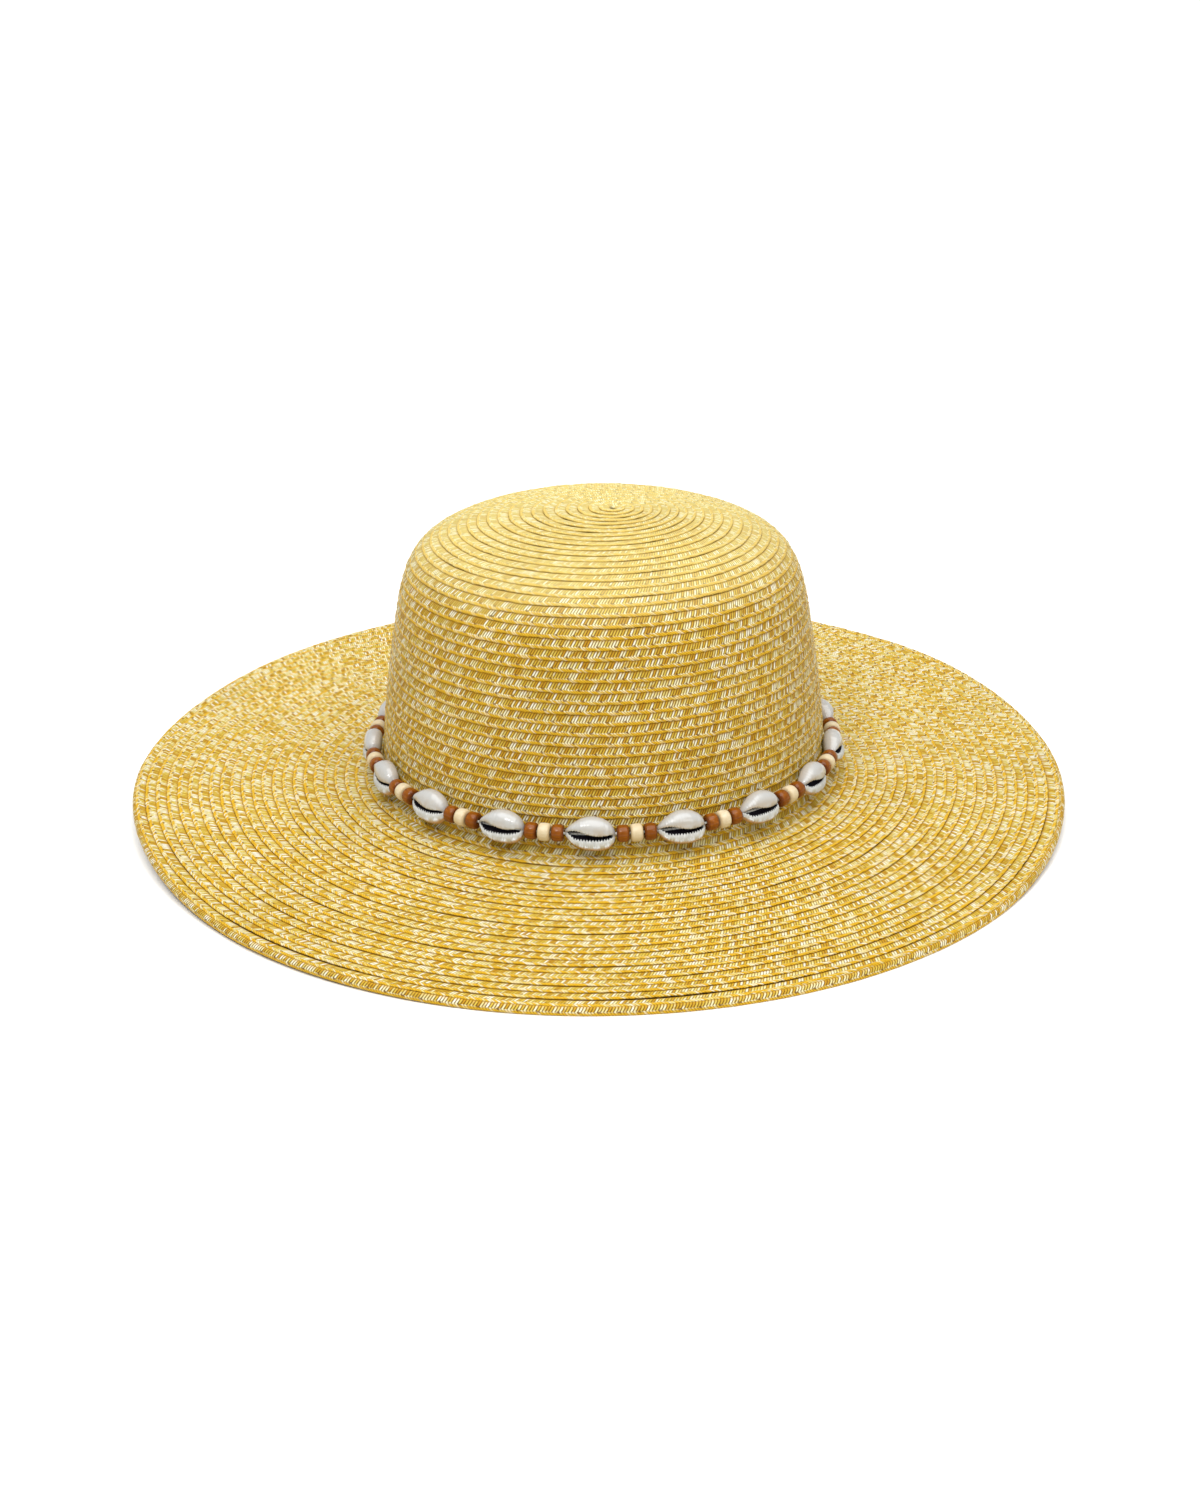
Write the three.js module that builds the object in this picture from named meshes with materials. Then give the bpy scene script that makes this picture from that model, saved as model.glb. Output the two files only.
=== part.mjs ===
// A wide-brimmed straw sun hat: a round braid crown, a broad and nearly flat brim with a rolled edge,
// and a band of cowrie shells and wooden beads threaded on a cord round the foot of the crown.
// Millimetres, +Z up, the front of the hat towards -Y.
// The origin is in the middle of the hat, on the surface that its rolled edge rests on.
import * as THREE from "three";

// Straw
const STRAW_WALL = 2.0;
const PIECE_GAP = 0.3;
const FACETS_ROUND = 36;
const CROWN_STEPS = 13;
const BRIM_STEPS = 7;

// Outer line of the crown, from the middle of its top down to its foot.
const CROWN_LINE = [
  { radius: 0, height: 125.3 },
  { radius: 24, height: 124.5 },
  { radius: 46, height: 121.9 },
  { radius: 65, height: 116.4 },
  { radius: 76.5, height: 109.4 },
  { radius: 83, height: 98 },
  { radius: 87, height: 81 },
  { radius: 91, height: 57 },
  { radius: 94, height: 31.5 },
  { radius: 95.4, height: 19 },
];
const CROWN_FOOT = CROWN_LINE[CROWN_LINE.length - 1];

// Upper line of the brim, from its collar under the crown's foot out to the rolled edge.
const BRIM_LINE = [
  { radius: CROWN_FOOT.radius, height: CROWN_FOOT.height - PIECE_GAP },
  { radius: 97.6, height: 13.4 },
  { radius: 103, height: 10.7 },
  { radius: 120, height: 8.8 },
  { radius: 145, height: 7 },
  { radius: 170, height: 4.8 },
  { radius: 193.7, height: 3.6 },
];
const BRIM_END = BRIM_LINE[BRIM_LINE.length - 1];

// Rolled edge: a ring with rounded corners and a flat underside
const EDGE_WIDTH = 2.5;
const EDGE_HEIGHT = 4.4;
const EDGE_CORNER = 0.7;

// Band of shells and beads
const BAND_RADIUS = 99.2;
const BAND_HEIGHT = 23.3;
const SHELL_COUNT = 17;
const BAND_PITCH_DEG = 20.8;
const FRONT_SHELL_DEG = 266.6;
const BAND_FACE_UP_DEG = 6;
const BEAD_SIDES = 10;
const BEAD_LENGTH = 5.0;
const BEAD_RADIUS = 3.65;
const BEAD_SHOULDER_RADIUS = 2.9;
const BEAD_SPACE = 0.35;
const CORD_RADIUS = 0.6;
const HOLE_RADIUS = 1.0;
const BEAD_CHAMFER = 0.15;
const KNOT_RADIUS = 1.7;
const KNOT_LENGTH = 3.6;

// Sections of one shell from its blunt end to its beak, which points left as one faces the hat:
// how far each reaches up, down, out to the front and to the back.
const SHELL_SECTIONS = [
  { along: -9.8, up: 2.2, down: 2.3, front: 1.9, back: 1.8 },
  { along: -7.6, up: 4.6, down: 4.9, front: 3.7, back: 2.7 },
  { along: -3.0, up: 7.2, down: 7.0, front: 4.9, back: 3.3 },
  { along: 2.6, up: 7.2, down: 6.7, front: 5.0, back: 3.3 },
  { along: 7.2, up: 4.7, down: 4.3, front: 3.7, back: 2.7 },
  { along: 9.8, up: 1.9, down: 1.8, front: 1.8, back: 1.7 },
];
const SHELL_HALF_LENGTH = SHELL_SECTIONS[SHELL_SECTIONS.length - 1].along;

// Points round one shell section, from the slit in its front: the angle of each, and the share of the
// section's reach that it keeps. The slit's floor is the one that is drawn in.
const SHELL_ROUND = [
  { angle_deg: -6, reach: 0.74 },
  { angle_deg: 8, reach: 1 },
  { angle_deg: 42, reach: 1 },
  { angle_deg: 76, reach: 1 },
  { angle_deg: 112, reach: 1 },
  { angle_deg: 155, reach: 1 },
  { angle_deg: 205, reach: 1 },
  { angle_deg: 248, reach: 1 },
  { angle_deg: 284, reach: 1 },
  { angle_deg: 314, reach: 1 },
  { angle_deg: 340, reach: 1 },
];

const deg = THREE.MathUtils.degToRad;

function finish(name, color, roughness) {
  const material = new THREE.MeshStandardMaterial({ color, roughness, metalness: 0 });
  material.name = name;
  return material;
}

const STRAW = finish("braided_straw", 0xdcb653, 0.7);
const SHELL_WHITE = finish("cowrie_shell", 0xede6da, 0.18);
const CREAM_WOOD = finish("cream_wood", 0xecd6a4, 0.3);
const BROWN_WOOD = finish("brown_wood", 0x8f4c1c, 0.3);

// Smooth line through a table of radii and heights, with its points closest where the rows are.
function lineThrough(rows, steps) {
  const curve = new THREE.SplineCurve(rows.map((row) => new THREE.Vector2(row.radius, row.height)));
  return curve.getPoints(steps);
}

// The same line moved inwards by the wall, square to itself at each point.
function innerLine(outer, wall) {
  return outer.map((point, i) => {
    if (point.x === 0) {
      return new THREE.Vector2(0, point.y - wall);
    }
    const before = outer[Math.max(i - 1, 0)];
    const after = outer[Math.min(i + 1, outer.length - 1)];
    const along = after.clone().sub(before).normalize();
    return new THREE.Vector2(point.x + along.y * wall, point.y - along.x * wall);
  });
}

// A profile of radius and height turned round the +Z axis.
function turned(profile, facets) {
  return new THREE.LatheGeometry(profile, facets).rotateX(Math.PI / 2);
}

function crownGeometry() {
  const outer = lineThrough(CROWN_LINE, CROWN_STEPS);
  const inner = innerLine(outer, STRAW_WALL);
  return turned([...inner, ...outer.reverse()], FACETS_ROUND);
}

function brimGeometry() {
  const upper = lineThrough(BRIM_LINE, BRIM_STEPS);
  const lower = innerLine(upper, STRAW_WALL);
  const loop = [...lower, ...upper.reverse()];
  return turned([...loop, loop[0]], FACETS_ROUND);
}

function rolledEdgeGeometry() {
  const inside = BRIM_END.radius + PIECE_GAP;
  const outside = inside + EDGE_WIDTH;
  const c = EDGE_CORNER;
  const loop = [
    new THREE.Vector2(inside + c, 0),
    new THREE.Vector2(outside - c, 0),
    new THREE.Vector2(outside, c),
    new THREE.Vector2(outside, EDGE_HEIGHT - c),
    new THREE.Vector2(outside - c, EDGE_HEIGHT),
    new THREE.Vector2(inside + c, EDGE_HEIGHT),
    new THREE.Vector2(inside, EDGE_HEIGHT - c),
    new THREE.Vector2(inside, c),
  ];
  return turned([...loop, loop[0]], FACETS_ROUND);
}

// A closed body through rings of equally many points, the last ring joined to the first.
function ringBody(rings) {
  const count = rings[0].length;
  const positions = rings.flatMap((ring) => ring.flatMap((point) => point.toArray()));
  const faces = [];
  for (let i = 0; i < rings.length; i += 1) {
    for (let j = 0; j < count; j += 1) {
      const next = (i + 1) % rings.length;
      const side = (j + 1) % count;
      const a = i * count + j;
      const b = i * count + side;
      const c = next * count + side;
      const d = next * count + j;
      faces.push(a, b, c, a, c, d);
    }
  }
  const geometry = new THREE.BufferGeometry();
  geometry.setAttribute("position", new THREE.Float32BufferAttribute(positions, 3));
  geometry.setIndex(faces);
  geometry.computeVertexNormals();
  return geometry;
}

// One shell lying along its own X, its slit facing +Y and its upper lobe towards +Z, drilled end to end.
function shellGeometry() {
  const outside = SHELL_SECTIONS.map((section) =>
    SHELL_ROUND.map(({ angle_deg, reach }) => {
      const out = Math.cos(deg(angle_deg));
      const up = Math.sin(deg(angle_deg));
      const depth = out > 0 ? section.front : section.back;
      const height = up > 0 ? section.up : section.down;
      return new THREE.Vector3(section.along, out * depth * reach, up * height * reach);
    }),
  );
  const holeAt = (along) =>
    SHELL_ROUND.map(({ angle_deg }) => {
      const out = HOLE_RADIUS * Math.cos(deg(angle_deg));
      const up = HOLE_RADIUS * Math.sin(deg(angle_deg));
      return new THREE.Vector3(along, out, up);
    });
  return ringBody([...outside, holeAt(SHELL_HALF_LENGTH), holeAt(-SHELL_HALF_LENGTH)]);
}

// One drilled bead with its hole along its own X.
function beadGeometry() {
  const half = BEAD_LENGTH / 2;
  const loop = [
    new THREE.Vector2(HOLE_RADIUS, -half),
    new THREE.Vector2(BEAD_SHOULDER_RADIUS, -half + BEAD_CHAMFER),
    new THREE.Vector2(BEAD_RADIUS, 0),
    new THREE.Vector2(BEAD_SHOULDER_RADIUS, half - BEAD_CHAMFER),
    new THREE.Vector2(HOLE_RADIUS, half),
  ];
  return new THREE.LatheGeometry([...loop, loop[0]], BEAD_SIDES).rotateZ(-Math.PI / 2);
}

// Where the things on the band sit, as angles round the hat.
const shellHalfAngle = Math.asin(SHELL_HALF_LENGTH / BAND_RADIUS);
const shellPathRadius = BAND_RADIUS * Math.cos(shellHalfAngle);
const beadStep = (BEAD_LENGTH + BEAD_SPACE) / BAND_RADIUS;
const shellAngle = (index) => deg(FRONT_SHELL_DEG + (index - (SHELL_COUNT - 1) / 2) * BAND_PITCH_DEG);
const beadsAngle = (index) => shellAngle(index) + deg(BAND_PITCH_DEG) / 2;
const knotAngle =
  (beadsAngle(SHELL_COUNT - 1) + 2 * beadStep + shellAngle(0) + 2 * Math.PI - shellHalfAngle) / 2;

// A group whose X runs along the band, Y out from the hat and Z up, at an angle round it.
function bandPlace(angle, radius, faceUp) {
  const place = new THREE.Group();
  place.rotation.z = angle - Math.PI / 2;
  const seat = new THREE.Group();
  seat.position.set(0, radius, BAND_HEIGHT);
  seat.rotation.x = faceUp;
  place.add(seat);
  return { place, seat };
}

// Rings of the cord and its brown beads, in order round the hat: a bead swells the cord, so does the knot.
const BEAD_SWELL = [
  { along: -BEAD_LENGTH / 2, radius: CORD_RADIUS },
  { along: -BEAD_LENGTH / 2 + BEAD_CHAMFER, radius: BEAD_SHOULDER_RADIUS },
  { along: 0, radius: BEAD_RADIUS },
  { along: BEAD_LENGTH / 2 - BEAD_CHAMFER, radius: BEAD_SHOULDER_RADIUS },
  { along: BEAD_LENGTH / 2, radius: CORD_RADIUS },
];
const KNOT_SWELL = [
  { along: -KNOT_LENGTH / 2, radius: CORD_RADIUS },
  { along: -KNOT_LENGTH / 4, radius: KNOT_RADIUS },
  { along: KNOT_LENGTH / 4, radius: KNOT_RADIUS },
  { along: KNOT_LENGTH / 2, radius: CORD_RADIUS },
];

function swellRings(angle, swell) {
  const out = new THREE.Vector3(Math.cos(angle), Math.sin(angle), 0);
  const along = new THREE.Vector3(-Math.sin(angle), Math.cos(angle), 0);
  const middle = out.clone().multiplyScalar(BAND_RADIUS).setZ(BAND_HEIGHT);
  return swell.map((row) => {
    const ring = [];
    for (let side = 0; side < BEAD_SIDES; side += 1) {
      const turn = (2 * Math.PI * side) / BEAD_SIDES;
      const point = middle.clone().addScaledVector(along, row.along);
      point.addScaledVector(out, row.radius * Math.cos(turn));
      point.z -= row.radius * Math.sin(turn);
      ring.push(point);
    }
    return ring;
  });
}

function beadCordGeometry() {
  const rings = [];
  for (let i = 0; i < SHELL_COUNT; i += 1) {
    rings.push(...swellRings(beadsAngle(i) - beadStep, BEAD_SWELL));
    rings.push(...swellRings(beadsAngle(i) + beadStep, BEAD_SWELL));
  }
  rings.push(...swellRings(knotAngle, KNOT_SWELL));
  return ringBody(rings);
}

function named(name, geometry, material) {
  const mesh = new THREE.Mesh(geometry, material);
  mesh.name = name;
  return mesh;
}

const hat = new THREE.Group();
hat.name = "straw_sun_hat";

const straw = new THREE.Group();
straw.add(named("crown", crownGeometry(), STRAW));
straw.add(named("brim", brimGeometry(), STRAW));
straw.add(named("rolled_edge", rolledEdgeGeometry(), STRAW));
hat.add(straw);

const band = new THREE.Group();
band.add(named("bead_cord", beadCordGeometry(), BROWN_WOOD));
for (let i = 0; i < SHELL_COUNT; i += 1) {
  const number = String(i + 1).padStart(2, "0");
  const shell = bandPlace(shellAngle(i), shellPathRadius, deg(BAND_FACE_UP_DEG));
  shell.seat.add(named("cowrie_" + number, shellGeometry(), SHELL_WHITE));
  const bead = bandPlace(beadsAngle(i), BAND_RADIUS, 0);
  bead.seat.add(named("cream_bead_" + number, beadGeometry(), CREAM_WOOD));
  band.add(shell.place, bead.place);
}
hat.add(band);

export default hat;
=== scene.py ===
"""Looks of a straw sun hat with a band of cowrie shells and wooden beads.

Metres, +Z up, the front of the hat towards -Y. The tables below are in millimetres, as in the part's
source, and are turned into metres where a mesh gets its vertices.
"""

from __future__ import annotations

import logging
import math
from collections.abc import Callable, Sequence
from dataclasses import dataclass, field
from enum import Enum

import bpy
import numpy as np
from mathutils import Matrix, Vector


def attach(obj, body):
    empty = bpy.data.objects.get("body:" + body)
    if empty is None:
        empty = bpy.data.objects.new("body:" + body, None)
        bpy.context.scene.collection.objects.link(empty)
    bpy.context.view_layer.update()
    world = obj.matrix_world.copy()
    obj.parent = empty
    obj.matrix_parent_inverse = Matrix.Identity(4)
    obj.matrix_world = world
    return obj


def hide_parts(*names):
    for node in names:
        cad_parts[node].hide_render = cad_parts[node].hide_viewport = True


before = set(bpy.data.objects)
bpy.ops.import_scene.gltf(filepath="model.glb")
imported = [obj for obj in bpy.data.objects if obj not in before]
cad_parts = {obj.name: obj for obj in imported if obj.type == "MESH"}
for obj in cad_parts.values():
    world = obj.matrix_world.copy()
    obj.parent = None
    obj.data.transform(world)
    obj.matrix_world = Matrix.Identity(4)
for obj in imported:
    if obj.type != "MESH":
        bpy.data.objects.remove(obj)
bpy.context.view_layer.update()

LOG = logging.getLogger("straw_hat")
MM = 0.001
ROOT = "root"
WEAVE_MAP = "weave"
FORM_MAP = "form"
BAKE_MAP = "OFBake"

Array = np.ndarray
Color = tuple[float, float, float]
Span = tuple[float, float]
Mesh = bpy.types.Mesh
Piece = bpy.types.Object
Socket = bpy.types.NodeSocket


class Slot(Enum):
    """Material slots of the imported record."""

    CROWN = "crown_straw"
    BRIM = "brim_straw"
    EDGE = "edge_straw"
    SHELL = "cowrie"
    CREAM_BEAD = "cream_bead"
    BROWN_BEAD = "brown_bead"


# Helpers for objects and meshes


def deselect_all() -> None:
    """Leaves nothing selected, so that an operator acts on the new primitive alone."""
    bpy.ops.object.select_all(action="DESELECT")


def name_piece(name: str) -> Piece:
    """Names the primitive that was just added, and its mesh.

    Args:
        name: Plain name of the piece.

    Returns:
        The active object.
    """
    piece = bpy.context.object
    piece.name = name
    piece.data.name = name
    return piece


def vertex_array(mesh: Mesh) -> Array:
    """Returns the places of a mesh's vertices as rows of three numbers."""
    places = np.empty(len(mesh.vertices) * 3, dtype=np.float32)
    mesh.vertices.foreach_get("co", places)
    return places.reshape(-1, 3).astype(float)


def move_vertices(mesh: Mesh, places_mm: Array) -> None:
    """Sets a mesh's vertices from places in millimetres.

    Args:
        mesh: Mesh to shape.
        places_mm: One row of three numbers for each vertex.
    """
    mesh.vertices.foreach_set("co", (places_mm * MM).astype(np.float32).ravel())
    mesh.update()


def face_corners(mesh: Mesh) -> tuple[Array, Array, Array]:
    """Reads the corners of a mesh's faces.

    Args:
        mesh: Mesh to read.

    Returns:
        The vertex and the face of every corner, and the first corner of every face.
    """
    vertex = np.empty(len(mesh.loops), dtype=np.int32)
    first = np.empty(len(mesh.polygons), dtype=np.int32)
    count = np.empty(len(mesh.polygons), dtype=np.int32)
    mesh.loops.foreach_get("vertex_index", vertex)
    mesh.polygons.foreach_get("loop_start", first)
    mesh.polygons.foreach_get("loop_total", count)
    return vertex, np.repeat(np.arange(len(first)), count), first


def write_map(mesh: Mesh, name: str, along: Array, across: Array) -> None:
    """Writes a UV map.

    Args:
        mesh: Mesh that gets the map.
        name: Name of the map.
        along: First coordinate of every face corner.
        across: Second coordinate of every face corner.
    """
    layer = mesh.uv_layers.get(name) or mesh.uv_layers.new(name=name)
    layer.uv.foreach_set("vector", np.stack([along, across], 1).astype(np.float32).ravel())


def clear_maps(mesh: Mesh) -> None:
    """Removes the UV maps that a primitive came with."""
    while mesh.uv_layers:
        mesh.uv_layers.remove(mesh.uv_layers[0])


def unwrap_ring(values: Array, face: Array, first: Array, span: float) -> Array:
    """Keeps a face that crosses the seam of a ring from reaching back over the whole ring.

    Args:
        values: Coordinate of every face corner, from 0 to span.
        face: Face of every corner.
        first: First corner of every face.
        span: Length of the ring in the same units.

    Returns:
        The coordinates, with a span added where a face crosses the seam.
    """
    highest = np.maximum.reduceat(values, first)[face]
    return np.where(highest - values > span / 2, values + span, values)


def add_ring(name: str, columns: int, points: int) -> tuple[Piece, Array, Array]:
    """Adds a closed ring of faces, without maps, whose vertices are still to be moved.

    Args:
        name: Name of the piece.
        columns: How many columns of vertices lie round the ring.
        points: How many vertices each column has.

    Returns:
        The piece, and the column and the point of each vertex, counted counter-clockwise from 0.
    """
    bpy.ops.mesh.primitive_torus_add(
        major_segments=columns, minor_segments=points, major_radius=2.0, minor_radius=0.5
    )
    piece = name_piece(name)
    clear_maps(piece.data)
    x, y, z = vertex_array(piece.data).T
    column = np.rint(np.arctan2(y, x) / (2 * np.pi) * columns).astype(int) % columns
    out = np.hypot(x, y) - 2.0
    point = np.rint(np.arctan2(z, out) / (2 * np.pi) * points).astype(int) % points
    return piece, column, point


def add_object(name: str, data: bpy.types.ID) -> Piece:
    """Adds an object for a curve, a lamp or a camera to the scene."""
    made = bpy.data.objects.new(name, data)
    bpy.context.scene.collection.objects.link(made)
    return made


def face_outwards() -> None:
    """Turns all faces of the active piece outwards."""
    bpy.ops.object.mode_set(mode="EDIT")
    bpy.ops.mesh.select_all(action="SELECT")
    bpy.ops.mesh.normals_make_consistent(inside=False)
    bpy.ops.object.mode_set(mode="OBJECT")


def shade_smooth(piece: Piece) -> None:
    """Shades a piece smooth all over."""
    piece.data.polygons.foreach_set("use_smooth", np.ones(len(piece.data.polygons), dtype=bool))
    piece.data.update()


def dress(
    piece: Piece, material: bpy.types.Material, nodes: Sequence[str]
) -> None:
    """Gives a piece its finish and its place in the frame.

    Args:
        piece: Finished piece.
        material: Material for its whole surface.
        nodes: CAD nodes that the piece stands for.
    """
    piece.data.materials.clear()
    piece.data.materials.append(material)
    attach(piece, ROOT)
    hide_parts(*nodes)
    LOG.info("%s: %d faces", piece.name, len(piece.data.polygons))


# Helper for materials


class Graph:
    """Builds the nodes of one material round its Principled shader."""

    def __init__(self, name: str) -> None:
        """Starts a new node material.

        Args:
            name: Name of the material.
        """
        self.material = bpy.data.materials.new(name)
        self.material.use_nodes = True
        self.tree = self.material.node_tree
        self.shader = self.tree.nodes["Principled BSDF"]

    def node(self, kind: str, inputs: dict | None = None, **settings) -> bpy.types.Node:
        """Adds a node.

        Args:
            kind: Node type without its ShaderNode prefix.
            inputs: Value or output socket for each input, by name or number.
            settings: Attributes of the node itself.

        Returns:
            The new node.
        """
        made = self.tree.nodes.new("ShaderNode" + kind)
        for key, value in settings.items():
            setattr(made, key, value)
        for key, value in (inputs or {}).items():
            self.feed(made.inputs[key], value)
        return made

    def feed(self, socket: Socket, value: object) -> None:
        """Links an output to a socket, or sets the socket to a plain value."""
        if isinstance(value, Socket):
            self.tree.links.new(value, socket)
        else:
            socket.default_value = value

    def math(self, operation: str, *values: object, clamp: bool = False) -> Socket:
        """Adds a Math node.

        Args:
            operation: Blender's name of the operation.
            values: Its operands.
            clamp: Whether the result is kept between 0 and 1.

        Returns:
            The result's socket.
        """
        inputs = dict(enumerate(values))
        return self.node("Math", inputs, operation=operation, use_clamp=clamp).outputs[0]

    def times(self, first: object, second: object) -> Socket:
        """Multiplies two values."""
        return self.math("MULTIPLY", first, second)

    def step(self, value: object, low: float, high: float) -> Socket:
        """Adds a smooth step from 0 at low to 1 at high, or down where low is the larger.

        Args:
            value: Socket to read.
            low: Value that gives 0.
            high: Value that gives 1.

        Returns:
            The result's socket.
        """
        inputs = {"Value": value, "From Min": low, "From Max": high}
        made = self.node("MapRange", inputs, interpolation_type="SMOOTHSTEP")
        return made.outputs["Result"]

    def between(self, value: object, rise: Span, fall: Span) -> Socket:
        """Adds a smooth step up over one stretch of values and down again over another.

        Args:
            value: Socket to read.
            rise: Values between which the result goes from 0 to 1.
            fall: Values between which it goes back to 0.

        Returns:
            The result's socket.
        """
        return self.times(self.step(value, *rise), self.step(value, fall[1], fall[0]))

    def off_middle(self, value: object, middle: float = 0.5) -> Socket:
        """Returns how far a value lies from a middle one."""
        return self.math("ABSOLUTE", self.math("SUBTRACT", value, middle))

    def mix(self, share: object, first: object, second: object) -> Socket:
        """Mixes two colours.

        Args:
            share: How much of the second colour there is.
            first: First colour.
            second: Second colour.

        Returns:
            The mixed colour's socket.
        """
        made = self.node("Mix", data_type="RGBA")
        self.feed(made.inputs["Factor"], share)
        self.feed(made.inputs[6], opaque(first))
        self.feed(made.inputs[7], opaque(second))
        return made.outputs[2]

    def ramp(self, value: object, stops: Sequence[tuple[float, Color]]) -> Socket:
        """Adds a colour ramp.

        Args:
            value: Socket to read.
            stops: Place and colour of each stop.

        Returns:
            The colour's socket.
        """
        made = self.node("ValToRGB", {"Fac": value})
        elements = made.color_ramp.elements
        while len(elements) < len(stops):
            elements.new(1.0)
        for element, (place, color) in zip(elements, stops):
            element.position = place
            element.color = opaque(color)
        return made.outputs["Color"]

    def noise(self, vector: object, scale: float, detail: float = 2.0) -> Socket:
        """Adds a noise texture in space and returns its value."""
        inputs = {"Vector": vector, "Scale": scale, "Detail": detail}
        return self.node("TexNoise", inputs).outputs["Fac"]

    def random(self, value: object) -> Socket:
        """Returns a random number from 0 to 1 for each different input value."""
        return self.node("TexWhiteNoise", {"W": value}, noise_dimensions="1D").outputs["Value"]

    def place(self) -> Socket:
        """Returns the place on the piece, in metres."""
        return self.node("TexCoord").outputs["Object"]

    def map(self, name: str) -> tuple[Socket, Socket]:
        """Returns the two coordinates of one of the piece's UV maps."""
        uv = self.node("UVMap", uv_map=name).outputs["UV"]
        split = self.node("SeparateXYZ", {"Vector": uv})
        return split.outputs["X"], split.outputs["Y"]

    def bump(self, height: object, distance: float, strength: float) -> None:
        """Raises the surface by a height from 0 to 1.

        Args:
            height: Height's socket.
            distance: Height in metres that 1 stands for.
            strength: Strength of the effect.
        """
        inputs = {"Strength": strength, "Distance": distance, "Height": height}
        made = self.node("Bump", inputs)
        self.feed(self.shader.inputs["Normal"], made.outputs["Normal"])

    def set(self, **values: object) -> None:
        """Sets the shader's inputs, with underscores in their names for spaces."""
        for key, value in values.items():
            self.feed(self.shader.inputs[key.replace("_", " ")], value)


def opaque(color: object) -> object:
    """Gives a plain colour its alpha, and leaves a socket as it is."""
    return (*color, 1.0) if isinstance(color, tuple) and len(color) == 3 else color


# Finishes


@dataclass(frozen=True)
class StrawFinish:
    """Herringbone braid of golden and pale straw, coloured strand by strand along the braid's map.

    Across a row, the map runs from 0 at the free edge to 1 where the next turn inwards covers it. The
    strands turn at the kink: below it they are the rope of the edge, and above it the face.

    Attributes:
        top_light_start: Height in metres where the painted light on the crown's top begins to pale the
            straw; it is palest at top_light_full.
        pale_face: How seldom a strand of the face is pale, and pale_rope the same for the rope.
        pale_on_rope: How much of its pale colour a strand keeps where the rope's colour lies over it.
        gap_shade_depth: How dark the painted shade in the gaps between the strands of the face is, and
            rope_gap_shade that in the gaps of the rope.
        chance_share: How much chance, and patch_share how much the patches, decide which are pale.
        patch_pitch: About how many patches there are for each strand along the braid.
        stitch_strands: Strands from one stitch to the next.
    """

    name: str
    amber: Color = (0.46, 0.24, 0.016)
    gold: Color = (0.53, 0.335, 0.030)
    yellow: Color = (0.61, 0.465, 0.075)
    cream: Color = (0.72, 0.655, 0.32)
    silver: Color = (0.84, 0.83, 0.68)
    rope: Color = (0.67, 0.39, 0.018)
    shadow: Color = (0.16, 0.062, 0.006)
    thread: Color = (0.76, 0.70, 0.42)
    # Painted light from above: the crown's top is mixed towards this pale colour
    top_light_color: Color = (0.90, 0.82, 0.36)
    top_light_start: float = 0.096
    top_light_full: float = 0.120
    top_light_share: float = 0.36
    pale_face: float = 0.53
    pale_rope: float = 0.58
    pale_on_rope: float = 0.30
    rope_share: float = 0.90
    gap_shade_depth: float = 0.86
    rope_gap_shade: float = 0.40
    chance_share: float = 0.50
    patch_share: float = 0.56
    patch_pitch: float = 0.48
    tuck_shade_share: float = 0.60
    lip_shade_share: float = 0.70
    thread_share: float = 0.20
    hole_shade_share: float = 0.75
    kink: float = 0.37
    stitch_strands: float = 6.3
    relief: float = 0.00022
    roughness: float = 0.45
    shine: float = 0.07

    def build(self) -> bpy.types.Material:
        """Returns the material."""
        g = Graph(self.name)
        along, across = g.map(WEAVE_MAP)
        strand = g.math("FLOOR", along)
        edge = g.off_middle(g.math("FRACT", along))
        face = g.math("GREATER_THAN", across, self.kink)
        strand_key = g.math("MULTIPLY_ADD", face, 4711.5, strand)
        chance = g.random(g.math("ADD", strand_key, 0.37))

        # Golden strands, and pale ones in loose patches
        patch_side = g.math("MULTIPLY_ADD", face, 9.3, g.times(across, 1.3))
        patch_place = g.node("CombineXYZ", {"X": g.times(along, self.patch_pitch), "Y": patch_side})
        patch = g.noise(patch_place.outputs[0], 1.0, 1.0)
        mixed = g.math("ADD", g.times(chance, self.chance_share), g.times(patch, self.patch_share))
        limit = g.math("MULTIPLY_ADD", face, self.pale_face - self.pale_rope, self.pale_rope)
        pale = g.step(g.math("SUBTRACT", mixed, limit), -0.05, 0.07)
        tone = g.random(strand_key)
        golden = g.ramp(tone, ((0.0, self.amber), (0.45, self.gold), (1.0, self.yellow)))
        light = g.ramp(tone, ((0.0, self.yellow), (0.4, self.cream), (1.0, self.silver)))
        color = g.mix(pale, golden, light)

        # The golden rope along the free edge, and the pale thread over it
        rope_share = g.math("MULTIPLY_ADD", pale, -self.pale_on_rope, self.rope_share)
        color = g.mix(g.times(g.step(across, 0.36, 0.27), rope_share), color, self.rope)
        spine = g.between(across, (0.27, 0.33), (0.44, 0.54))
        color = g.mix(g.times(spine, g.step(chance, 0.30, 0.80)), color, self.thread)

        # Painted shade: in the gaps between the strands, and at the row's two edges
        gap = g.times(g.step(edge, 0.17, 0.40), g.step(across, 0.10, 0.44))
        rope_gap_shade = g.times(g.step(edge, 0.26, 0.48), self.rope_gap_shade)
        color = g.mix(g.math("MAXIMUM", g.times(gap, self.gap_shade_depth), rope_gap_shade), color, self.shadow)
        # Painted shade: the part near the groove, under the next row inwards, mixed towards amber
        color = g.mix(g.times(g.step(across, 0.72, 1.02), self.tuck_shade_share), color, self.amber)
        # Painted shade: under the lip of the free edge, mixed towards amber
        color = g.mix(g.times(g.step(across, 0.02, -0.06), self.lip_shade_share), color, self.amber)

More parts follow.
